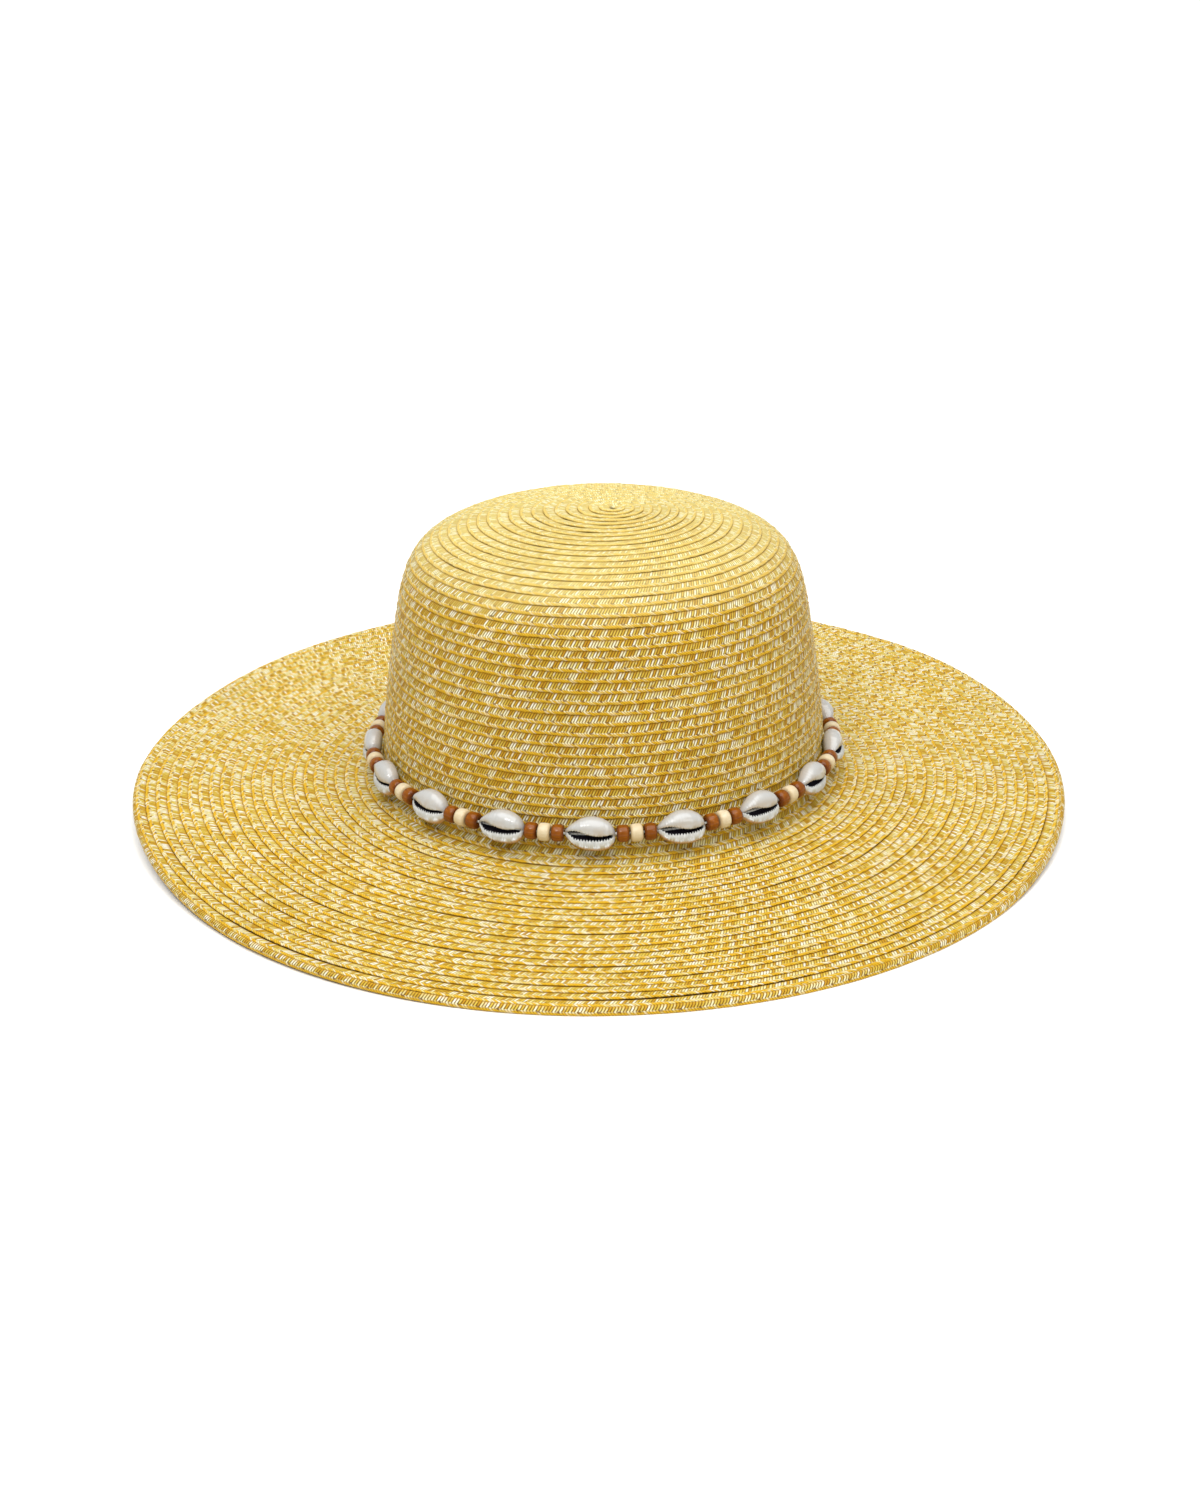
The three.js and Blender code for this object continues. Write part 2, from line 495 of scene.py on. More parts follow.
        # Sewing thread along the kink, and painted shade in the holes of its stitches
        seam = g.off_middle(across, self.kink - 0.02)
        color = g.mix(g.times(g.step(seam, 0.075, 0.02), self.thread_share), color, self.thread)
        stitch = g.math("FRACT", g.math("DIVIDE", along, self.stitch_strands))
        hole = g.times(g.step(stitch, 0.19, 0.12), g.step(seam, 0.12, 0.06))
        color = g.mix(g.times(hole, self.hole_shade_share), color, self.shadow)

        # Painted light: the crown's top paler with height; and slow changes of tone
        height_up = g.node("SeparateXYZ", {"Vector": g.place()}).outputs["Z"]
        painted_top_light = g.times(g.step(height_up, self.top_light_start, self.top_light_full), self.top_light_share)
        color = g.mix(painted_top_light, color, self.top_light_color)
        shade = g.math("MULTIPLY_ADD", g.noise(g.place(), 28.0, 3.0), 0.22, 0.89)
        tinted = g.node("HueSaturation", {"Value": shade, "Color": color})

        # Round, slightly fibrous strands, sunk in at the holes
        fibre_place = g.node("CombineXYZ", {"X": g.times(along, 6.0), "Y": across})
        fibre = g.noise(fibre_place.outputs[0], 1.0)
        round_strand = g.math("SUBTRACT", 1.0, g.math("POWER", g.times(edge, 2.0), 2.5))
        height = g.math("MULTIPLY_ADD", fibre, 0.25, round_strand)
        g.bump(g.math("SUBTRACT", height, g.times(hole, 1.2)), self.relief, 0.8)
        g.set(
            Base_Color=tinted.outputs["Color"],
            Roughness=g.math("MULTIPLY_ADD", fibre, 0.2, self.roughness - 0.1),
            Specular_IOR_Level=self.shine,
        )
        return g.material


@dataclass(frozen=True)
class ShellFinish:
    """Polished cowrie: white and pearl, a tan rim at the foot of the lower lobe, and painted shade dark
    in the slit.

    Round a section, the map runs from 0 in the slit over the lower lobe, the back and the upper lobe
    to 1; along the shell, it runs from 0 to 1 at the beak.
    """

    name: str = "cowrie_shell"
    white: Color = (0.54, 0.545, 0.515)
    pearl: Color = (0.475, 0.475, 0.46)
    blush: Color = (0.42, 0.33, 0.23)
    tan: Color = (0.50, 0.24, 0.06)
    slit_shade: Color = (0.010, 0.006, 0.014)
    cloud_share: float = 0.60
    rim_share: float = 0.85
    back_share: float = 0.35
    roughness: float = 0.16
    coat: float = 0.35
    coat_roughness: float = 0.08

    def build(self) -> bpy.types.Material:
        """Returns the material."""
        g = Graph(self.name)
        along, around = g.map(FORM_MAP)
        cloud = g.noise(g.place(), 160.0, 3.0)
        color = g.mix(g.step(around, 0.50, 0.64), self.white, self.pearl)
        upper = g.times(g.step(around, 0.70, 0.84), g.step(cloud, 0.38, 0.64))
        color = g.mix(g.times(upper, self.cloud_share), color, self.blush)
        rim = g.between(around, (0.25, 0.32), (0.36, 0.45))
        color = g.mix(g.times(rim, self.rim_share), color, self.tan)
        back = g.between(around, (0.36, 0.42), (0.62, 0.72))
        color = g.mix(g.times(back, self.back_share), color, self.blush)
        # Painted shade: near black deep in the slit's pocket
        pocket = g.math("MAXIMUM", g.step(around, 0.128, 0.108), g.step(around, 0.868, 0.888))
        hollow = g.times(pocket, g.between(along, (0.04, 0.09), (0.92, 0.97)))
        color = g.mix(hollow, color, self.slit_shade)
        fine = g.noise(g.place(), 900.0)
        g.bump(fine, 0.00004, 0.35)
        polish = g.math("MULTIPLY_ADD", fine, 0.10, self.roughness - 0.05)
        g.set(
            Base_Color=color,
            Roughness=g.math("MULTIPLY_ADD", hollow, 0.75, polish, clamp=True),
            Coat_Weight=g.math("MULTIPLY_ADD", hollow, -self.coat, self.coat),
            Coat_Roughness=self.coat_roughness,
        )
        return g.material


@dataclass(frozen=True)
class WoodFinish:
    """Varnished bead wood with a fine grain along the bead, and a tone of its own for each bead."""

    name: str
    light: Color
    deep: Color
    light_share: float = 0.45
    end_shade_share: float = 0.75
    grain_lines: float = 14.0
    roughness: float = 0.30
    shine: float = 0.14
    coat: float = 0.25
    coat_roughness: float = 0.10

    def build(self) -> bpy.types.Material:
        """Returns the material."""
        g = Graph(self.name)
        along, around = g.map(FORM_MAP)
        side = g.times(around, self.grain_lines)
        grain_place = g.node("CombineXYZ", {"X": along, "Y": side, "Z": g.noise(g.place(), 90.0)})
        grain = g.noise(grain_place.outputs[0], 2.2, 4.0)
        bead_tone = g.noise(g.place(), 75.0, 1.0)
        color = g.mix(g.step(grain, 0.30, 0.72), self.deep, self.light)
        color = g.mix(g.step(bead_tone, 0.35, 0.75), color, self.deep)
        color = g.mix(self.light_share, color, self.light)
        # Painted shade: the bead's ends, its turned-away sides, darker towards the deep colour
        end = g.step(g.off_middle(along), 0.24, 0.50)
        color = g.mix(g.times(end, self.end_shade_share), color, self.deep)
        g.bump(grain, 0.00004, 0.3)
        g.set(
            Base_Color=color,
            Roughness=g.math("MULTIPLY_ADD", grain, 0.08, self.roughness - 0.10),
            Specular_IOR_Level=self.shine,
            Coat_Weight=self.coat,
            Coat_Roughness=self.coat_roughness,
        )
        return g.material


@dataclass(frozen=True)
class CordFinish:
    """White waxed cord, twisted."""

    name: str = "waxed_cord"
    white: Color = (0.78, 0.76, 0.70)
    shade: Color = (0.50, 0.47, 0.40)
    roughness: float = 0.42

    def build(self) -> bpy.types.Material:
        """Returns the material."""
        g = Graph(self.name)
        along, around = g.map(FORM_MAP)
        ply = g.off_middle(g.math("FRACT", g.math("ADD", along, around)))
        color = g.mix(g.step(ply, 0.34, 0.5), self.white, self.shade)
        g.bump(g.math("SUBTRACT", 1.0, ply), 0.00012, 0.6)
        g.set(Base_Color=color, Roughness=self.roughness)
        return g.material


# Straw


@dataclass
class HatLine:
    """Outer line of the hat, turned round its axis: crown, collar and brim.

    The line runs from the middle of the crown's top to the last row of the brim, and a place on it is
    given by the length of line between it and that middle.
    """

    points: tuple[tuple[float, float], ...] = (
        (0.0, 125.3),
        (24.0, 124.5),
        (46.0, 121.9),
        (65.0, 116.4),
        (76.5, 109.4),
        (83.0, 98.0),
        (87.0, 81.0),
        (91.0, 57.0),
        (94.0, 31.5),
        (95.4, 19.0),
        (97.6, 13.4),
        (103.0, 10.7),
        (120.0, 8.8),
        (145.0, 7.0),
        (170.0, 4.8),
        (195.0, 3.6),
    )
    samples: int = 6000
    # The crown leans to the right by this share of its height; between the radii this fades out.
    crown_lean: float = 0.0100
    lean_full_radius: float = 98.0
    lean_end_radius: float = 125.0
    # The start of the spiral lies this far to the right; rows beyond the reach aren't moved.
    eye_offset: float = 5.2
    eye_reach: float = 52.0
    # How much the brim's edge rises and reaches outwards, each eighth of a turn clockwise from +X.
    brim_rise: tuple[float, ...] = (6.9, 0.0, 0.0, 1.0, 10.0, 13.2, 13.5, 10.7)
    brim_reach: tuple[float, ...] = (0.1, 0.8, 0.6, 0.9, 5.4, 3.3, 2.2, 1.4)
    brim_start_radius: float = 103.0
    brim_end_radius: float = 196.0
    length: float = field(init=False)
    stations: Array = field(init=False, repr=False)
    line: Array = field(init=False, repr=False)
    normals: Array = field(init=False, repr=False)

    def __post_init__(self) -> None:
        """Samples a smooth line through the points, level in the middle of the crown's top."""
        knots = np.array(self.points)
        chord = np.concatenate([[0.0], np.cumsum(np.hypot(*np.diff(knots, axis=0).T))])
        gaps = np.diff(chord)
        slopes = np.diff(knots, axis=0) / gaps[:, None]
        size = len(chord)
        matrix = np.zeros((size, size))
        target = np.zeros((size, 2))
        matrix[0, :2] = 2 * gaps[0], gaps[0]
        target[0] = 6 * (slopes[0] - np.array([1.0, 0.0]))
        for i in range(1, size - 1):
            matrix[i, i - 1 : i + 2] = gaps[i - 1], 2 * (gaps[i - 1] + gaps[i]), gaps[i]
            target[i] = 6 * (slopes[i] - slopes[i - 1])
        matrix[-1, -1] = 1.0
        bends = np.linalg.solve(matrix, target)

        at = np.linspace(0.0, chord[-1], self.samples)
        i = np.clip(np.searchsorted(chord, at, side="right") - 1, 0, size - 2)
        h = gaps[i][:, None]
        before = (at - chord[i])[:, None]
        after = h - before
        line = (bends[i] * after**3 + bends[i + 1] * before**3) / (6 * h)
        line += (knots[i] / h - bends[i] * h / 6) * after
        line += (knots[i + 1] / h - bends[i + 1] * h / 6) * before
        self.line = line
        self.stations = np.concatenate([[0.0], np.cumsum(np.hypot(*np.diff(line, axis=0).T))])
        self.length = float(self.stations[-1])
        tangent = np.gradient(line, axis=0)
        tangent /= np.linalg.norm(tangent, axis=1)[:, None]
        self.normals = np.stack([-tangent[:, 1], tangent[:, 0]], 1)

    def radius(self, arc: Array) -> Array:
        """Returns the radius at lengths from the middle of the crown."""
        return np.interp(arc, self.stations, self.line[:, 0])

    def arc_at_radius(self, radius: float) -> float:
        """Returns the length from the middle of the crown at which the line has a radius."""
        return float(np.interp(radius, self.line[:, 0], self.stations))

    def place(self, turn: Array, arc: Array, lift: Array) -> Array:
        """Finds places on the hat.

        Args:
            turn: Clockwise angle from +X as seen from above, in radians.
            arc: Length of line from the middle of the crown's top.
            lift: Height over the line, square to it.

        Returns:
            Places as rows of three numbers.
        """
        radius = np.interp(arc, self.stations, self.line[:, 0])
        height = np.interp(arc, self.stations, self.line[:, 1])
        radius = radius + lift * np.interp(arc, self.stations, self.normals[:, 0])
        height = height + lift * np.interp(arc, self.stations, self.normals[:, 1])
        return self.settle(turn, radius, height)

    def round_value(self, turn: Array, values: Sequence[float]) -> Array:
        """Reads a table of values that lie equally far apart round the hat, with an even passage.

        Args:
            turn: Clockwise angle from +X as seen from above, in radians.
            values: The table.

        Returns:
            The value at each angle.
        """
        table = np.array(values)
        place = turn / (2 * np.pi) * len(table) % len(table)
        before = np.floor(place).astype(int)
        share = place - before
        share = share * share * (3 - 2 * share)
        return table[before % len(table)] * (1 - share) + table[(before + 1) % len(table)] * share

    def settle(self, turn: Array, radius: Array, height: Array) -> Array:
        """Turns a radius and height round the hat, with the small unevenness of the real one.

        Args:
            turn: Clockwise angle from +X as seen from above, in radians.
            radius: Distance from the axis.
            height: Height over the surface that the hat rests on.

        Returns:
            Places as rows of three numbers.
        """
        brim_width = self.brim_end_radius - self.brim_start_radius
        out = np.clip((radius - self.brim_start_radius) / brim_width, 0.0, 1.0)
        height = height + out * self.round_value(turn, self.brim_rise)
        radius = radius + out * self.round_value(turn, self.brim_reach)
        x = radius * np.cos(turn)
        y = -radius * np.sin(turn)
        near_eye = np.clip(1 - (radius / self.eye_reach) ** 2, 0.0, 1.0) ** 2
        x = x + self.eye_offset * near_eye * (height > 100.0)
        span = self.lean_end_radius - self.lean_full_radius
        lean = self.crown_lean * np.clip((self.lean_end_radius - radius) / span, 0.0, 1.0)
        return np.stack([x + lean * height, y, height - lean * x], -1)


@dataclass(frozen=True)
class SectionPoint:
    """One point of the braid's cross-section.

    Attributes:
        inward: Distance from the braid's free edge towards the middle of the crown, or the radius in
            the rolled edge.
        lift: Height over the hat's line, or in the rolled edge over the surface that it rests on.
        lean: How far the strand has moved to the right there, seen from outside.
        across: Where the point lies across the row, for the weave's colours.
        share: Where the point lies across a strip of the bake's map.
    """

    inward: float
    lift: float
    lean: float
    across: float
    share: float


@dataclass
class Braid:
    """The one long braid that is sewn in a spiral, each turn lapping over the next one outwards."""

    line: HatLine = field(default_factory=HatLine)
    row: float = 4.2
    strand: float = 1.12
    section: tuple[SectionPoint, ...] = (
        SectionPoint(5.2, -0.95, 1.75, 1.24, 0.0),
        SectionPoint(3.9, -0.50, 1.10, 0.93, 0.12),
        SectionPoint(2.7, -0.30, 0.55, 0.643, 0.26),
        SectionPoint(1.60, -0.22, 0.0, 0.380, 0.40),
        SectionPoint(1.10, 0.04, 0.50, 0.262, 0.50),
        SectionPoint(0.52, 0.12, 1.25, 0.124, 0.58),
        SectionPoint(0.08, -0.16, 1.95, 0.0, 0.66),
        SectionPoint(0.10, -0.52, 2.05, -0.05, 0.72),
        SectionPoint(0.50, -0.86, 2.10, -0.10, 0.80),
    )
    # How far the sewn rows lie inwards of even ones: rows from the edge, and millimetres.
    row_offsets: tuple[tuple[float, float], ...] = (
        (0.0, 0.0),
        (1.0, 0.4),
        (22.0, 0.3),
        (28.0, -0.9),
        (70.0, -0.9),
    )
    first_edge: float = 1.7
    last_row: float = -0.96
    steps_per_row: int = 240
    face_middle: float = 1.55
    lean_full_radius: float = 14.0
    lift_jitter: float = 0.07
    edge_jitter: float = 0.10
    wander: float = 0.16
    wander_lift: float = 0.10
    wave_count: int = 9
    wave_total: float = 3.5
    strip_width: float = 10.5
    strip_inset: float = 0.002
    seed: int = 71
    rows: Array = field(init=False, repr=False)
    waves: list[tuple[float, float, float]] = field(init=False, repr=False)
    strand_lift: Array = field(init=False, repr=False)
    strand_edge: Array = field(init=False, repr=False)

    def __post_init__(self) -> None:
        """Lays out the strands, equally far apart along the whole braid."""
        start = (self.line.length - self.first_edge) / self.row
        steps = int((start - self.last_row) * self.steps_per_row)
        fine = np.linspace(start, self.last_row, steps)
        radius = self.line.radius(self.arc_of(fine, self.face_middle))
        walked = np.concatenate([[0.0], np.cumsum(2 * np.pi * np.abs(np.diff(fine)) * radius[1:])])
        columns = int(walked[-1] / self.strand) + 1
        self.rows = np.interp(np.linspace(0.0, walked[-1], columns), walked, fine)
        rng = np.random.default_rng(self.seed)
        self.waves = [
            (rng.uniform(2.0, 23.0), rng.uniform(0.0, 2 * np.pi), rng.uniform(0.4, 1.0))
            for _ in range(self.wave_count)
        ]
        self.strand_lift = rng.normal(0.0, self.lift_jitter, columns)
        self.strand_edge = rng.normal(0.0, self.edge_jitter, columns)

    def wave_at(self, rows: Array, shift: float) -> Array:
        """Finds how far the braid wanders, slowly and evenly.

        Args:
            rows: Rows counted from the edge, along the spiral.
            shift: Phase that makes one kind of wandering differ from another.

        Returns:
            The wandering at each row, about 1 at most.
        """
        total = np.zeros_like(rows)
        for i, (rate, phase, reach) in enumerate(self.waves):
            total += reach * np.sin(2 * np.pi * rate * rows + phase + shift * i)
        return total / self.wave_total

    def arc_of(self, rows: Array, inward: Array | float) -> Array:
        """Finds a place of the braid on the hat's line.

        Args:
            rows: Rows counted from the edge, along the spiral.
            inward: Distance from the braid's free edge.

        Returns:
            Length of line from the middle of the crown's top.
        """
        table = np.array(self.row_offsets)
        offset = np.interp(rows, table[:, 0], table[:, 1])
        edge = self.line.length - (self.row * rows + offset)
        beyond = np.maximum(0.0, edge - self.line.length)
        width = self.section[0].inward
        room = np.minimum(1.0 - beyond / width, (np.maximum(edge, 0.7) - 0.12) / width)
        return np.maximum(edge - beyond - inward * np.clip(room, 0.02, 1.0), 0.05)

    def columns_at(self, first: int, last: int) -> Array:
        """Finds the vertices of one stretch of braid.

        Args:
            first: Its first column, at the edge of a strand.
            last: Its last column.

        Returns:
            Places by column and point of the section, in millimetres.
        """
        rows = self.rows[first : last + 1]
        places = np.empty((len(rows), len(self.section), 3))
        for i, point in enumerate(self.section):
            radius = self.line.radius(self.arc_of(rows, point.inward))
            lean = point.lean * np.clip(radius / self.lean_full_radius, 0.05, 1.0)
            moved = rows + lean / (2 * np.pi * np.maximum(radius, 1.0))
            lift = point.lift + self.wave_at(moved, 1.7) * self.wander_lift
            inward = point.inward + self.wave_at(moved, 0.0) * self.wander
            if 0.3 < point.inward < 3.0:
                lift = lift + self.strand_lift[first : last + 1]
            if point.inward < 0.6:
                inward = inward + self.strand_edge[first : last + 1]
            turn = np.radians(90.0) - 2 * np.pi * moved
            places[:, i] = self.line.place(turn, self.arc_of(moved, inward), lift)
        return places

    def column_of_arc(self, arc: float) -> int:
        """Returns the column at which the braid's free edge passes a length of the hat's line."""
        return int(np.searchsorted(self.arc_of(self.rows, 0.0), arc))

    def build(self, name: str, first: int, last: int) -> Piece:
        """Models one stretch of braid, closed at both ends.

        Args:
            name: Name of the piece.
            first: Its first column.
            last: Its last column.

        Returns:
            The piece.
        """
        columns = last - first
        points = len(self.section)
        deselect_all()
        bpy.ops.mesh.primitive_grid_add(x_subdivisions=columns, y_subdivisions=points, size=1.0)
        piece = name_piece(name)
        mesh = piece.data
        clear_maps(mesh)
        grid = vertex_array(mesh)
        column = np.rint((grid[:, 0] + 0.5) * columns).astype(int)
        point = np.rint((grid[:, 1] + 0.5) * points).astype(int)
        places = self.columns_at(first, last)
        self.write_maps(mesh, column, point, columns)
        move_vertices(mesh, places[column, point % points])
        bpy.ops.object.mode_set(mode="EDIT")
        bpy.ops.mesh.select_all(action="SELECT")
        bpy.ops.mesh.remove_doubles(threshold=1e-7)
        bpy.ops.mesh.select_all(action="DESELECT")
        bpy.ops.mesh.select_non_manifold(extend=False)
        bpy.ops.mesh.fill_holes(sides=points)
        bpy.ops.object.mode_set(mode="OBJECT")
        face_outwards()
        shade_smooth(piece)
        return piece

    def write_maps(self, mesh: Mesh, column: Array, point: Array, columns: int) -> None:
        """Writes the map for the weave and the one for baking.

        Args:
            mesh: Mesh of the stretch, before its long seam is closed.
            column: Column of each vertex, from 0.
            point: Point of the section of each vertex; one more than the last is the first again.
            columns: How many columns of faces there are.
        """
        corner, face, first = face_corners(mesh)
        across = np.array([p.across for p in self.section] + [self.section[0].across])
        write_map(mesh, WEAVE_MAP, column[corner].astype(float), across[point[corner]])

        strips = max(1, round(math.sqrt(columns * self.strand / self.strip_width)))
        per_strip = math.ceil(columns / strips)
        strip = np.minimum.reduceat(column[corner], first)[face] // per_strip
        share = np.array([p.share for p in self.section] + [1.0])
        along = (column[corner] - strip * per_strip) / per_strip
        up = (strip + share[point[corner]]) / strips
        room = 1 - 2 * self.strip_inset
        write_map(mesh, BAKE_MAP, self.strip_inset + room * along, self.strip_inset + room * up)


@dataclass
class StrawBody:
    """Crown and brim: stretches of the one braid, each short enough to be one piece."""

    braid: Braid = field(default_factory=Braid)
    foot_radius: float = 95.6
    crown_names: tuple[str, ...] = ("crown_top", "crown_shoulder", "crown_side")
    brim_names: tuple[str, ...] = ("brim_inner", "brim_middle", "brim_outer")

    def build(self) -> list[Piece]:
        """Models and dresses the crown and the brim.

        Returns:
            Their pieces.
        """
        line = self.braid.line
        foot = self.braid.column_of_arc(line.arc_at_radius(self.foot_radius))
        end = len(self.braid.rows) - 1
        crown_finish = StrawFinish("crown_braid")
        crown = self.dress_run(self.crown_names, 0, foot, crown_finish, "crown")
        brim_finish = StrawFinish(
            "brim_braid",
            gold=(0.56, 0.37, 0.036),
            yellow=(0.65, 0.50, 0.08),
            cream=(0.74, 0.68, 0.31),
            rope=(0.70, 0.41, 0.02),
            pale_face=0.51,
            pale_rope=0.54,
            pale_on_rope=0.60,
            gap_shade_depth=0.62,
        )
        return crown + self.dress_run(self.brim_names, foot, end, brim_finish, "brim")

    def dress_run(
        self,
        names: Sequence[str],
        first: int,
        last: int,
        finish: StrawFinish,
        node: str,
    ) -> list[Piece]:
        """Models a run of braid as equally long pieces.

        Args:
            names: Names of the pieces, from the inside out.
            first: First column of the run.
            last: Last column of the run.
            finish: Their finish.
            node: CAD node that they stand for.

        Returns:
            The pieces.
        """
        material = finish.build()
        cuts = [first + round((last - first) * i / len(names)) for i in range(len(names) + 1)]
        pieces = []
        for name, low, high in zip(names, cuts, cuts[1:]):
            piece = self.braid.build(name, low, high)
            dress(piece, material, [node])
            pieces.append(piece)
        return pieces


@dataclass
class RolledEdge:
    """The outermost braid, turned down on edge so that the hat rests on it."""

    line: HatLine
    strand: float = 1.12
    radius: float = 195.5
    section: tuple[SectionPoint, ...] = (
        SectionPoint(194.90, 3.15, 0.95, 0.97, 0.0),
        SectionPoint(195.80, 2.70, 0.70, 0.80, 0.14),
        SectionPoint(196.20, 1.60, 0.0, 0.37, 0.34),
        SectionPoint(196.40, 0.85, 0.55, 0.20, 0.45),
        SectionPoint(196.10, 0.15, 1.15, 0.05, 0.55),
        SectionPoint(195.50, 0.0, 1.15, -0.06, 0.62),
        SectionPoint(194.70, 0.35, 1.15, 0.20, 0.72),
        SectionPoint(194.25, 1.60, 0.60, 0.60, 0.86),
        SectionPoint(194.30, 2.70, 0.95, 0.90, 0.95),
    )
    jitter: float = 0.05
    uneven_points: int = 4
    strips: int = 10
    seed: int = 5

    def build(self) -> Piece:
        """Models and dresses the edge.

        Returns:
            The piece.
        """
        columns = round(2 * math.pi * self.radius / self.strand)
        points = len(self.section)
        deselect_all()
        piece, column, point = add_ring("rolled_edge_braid", columns, points)
        mesh = piece.data
        point = -point % points
        table = np.array([(p.inward, p.lift, p.lean) for p in self.section])[point]
        uneven = np.random.default_rng(self.seed).normal(0.0, self.jitter, columns)[column]
        radius = table[:, 0] + np.where(point < self.uneven_points, uneven, 0.0)
        turn = -2 * np.pi * column / columns - table[:, 2] / self.radius
        move_vertices(mesh, self.line.settle(turn, radius, table[:, 1]))
        corner, face, first = face_corners(mesh)
        along = unwrap_ring(column[corner].astype(float), face, first, columns)
        raw = unwrap_ring(point[corner].astype(float), face, first, points).astype(int)
        across = np.array([p.across for p in self.section] + [self.section[0].across])
        share = np.array([p.share for p in self.section] + [1.0])
        write_map(mesh, WEAVE_MAP, along, across[raw])
        per_strip = columns / self.strips
        strip = np.floor(np.minimum.reduceat(along, first)[face] / per_strip)
        up = (strip + share[raw]) / self.strips
        write_map(mesh, BAKE_MAP, (along - strip * per_strip) / (per_strip + 1), up)
        face_outwards()
        shade_smooth(piece)
        finish = StrawFinish("edge_braid", pale_face=0.53, pale_rope=0.64)
        dress(piece, finish.build(), ["rolled_edge"])
        return piece


# Band of shells and beads


@dataclass(frozen=True)
class BandPath:
    """Ring on which the shells and beads are strung, counter-clockwise angles seen from above."""

    radius: float = 99.2
    height: float = 23.3
    shells: int = 17
    pitch_deg: float = 20.8
    front_deg: float = 266.6
    shell_half_length: float = 9.8
    bead_length: float = 5.0
    bead_space: float = 0.35
    face_up_deg: float = 6.0

    def shell_angle(self, index: int) -> float:
        """Returns the angle of a shell, counted from 0."""
        return math.radians(self.front_deg + (index - (self.shells - 1) / 2) * self.pitch_deg)

    def beads_angle(self, index: int) -> float:
        """Returns the angle of the cream bead that follows a shell."""
        return self.shell_angle(index) + math.radians(self.pitch_deg) / 2

    @property
    def bead_step(self) -> float:
        """Angle from one bead to the next."""
        return (self.bead_length + self.bead_space) / self.radius

    @property
    def knot_angle(self) -> float:
        """Angle of the knot, in the gap that the band leaves at the back."""
        half = math.asin(self.shell_half_length / self.radius)
        before = self.beads_angle(self.shells - 1) + 2 * self.bead_step
        return (before + self.shell_angle(0) + 2 * math.pi - half) / 2

    def seat(self, angle: float, radius: float, face_up_deg: float = 0.0) -> Matrix:
        """Finds where a threaded thing sits.

        Args:
            angle: Its angle round the hat.
            radius: Distance of its middle from the axis.
            face_up_deg: How far its outer side is turned up.

        Returns:
            Matrix from its own millimetres, X along the band, Y outwards and Z up.
        """
        turn = Matrix.Rotation(angle - math.pi / 2, 4, "Z")
        lift = Matrix.Translation(Vector((0.0, radius, self.height)))
        return turn @ lift @ Matrix.Rotation(math.radians(face_up_deg), 4, "X")


def seat_vertices(places: Array, seat: Matrix) -> Array:
    """Moves places from a thing's own space to the hat's, both in millimetres."""
    matrix = np.array(seat)
    return places @ matrix[:3, :3].T + matrix[:3, 3]


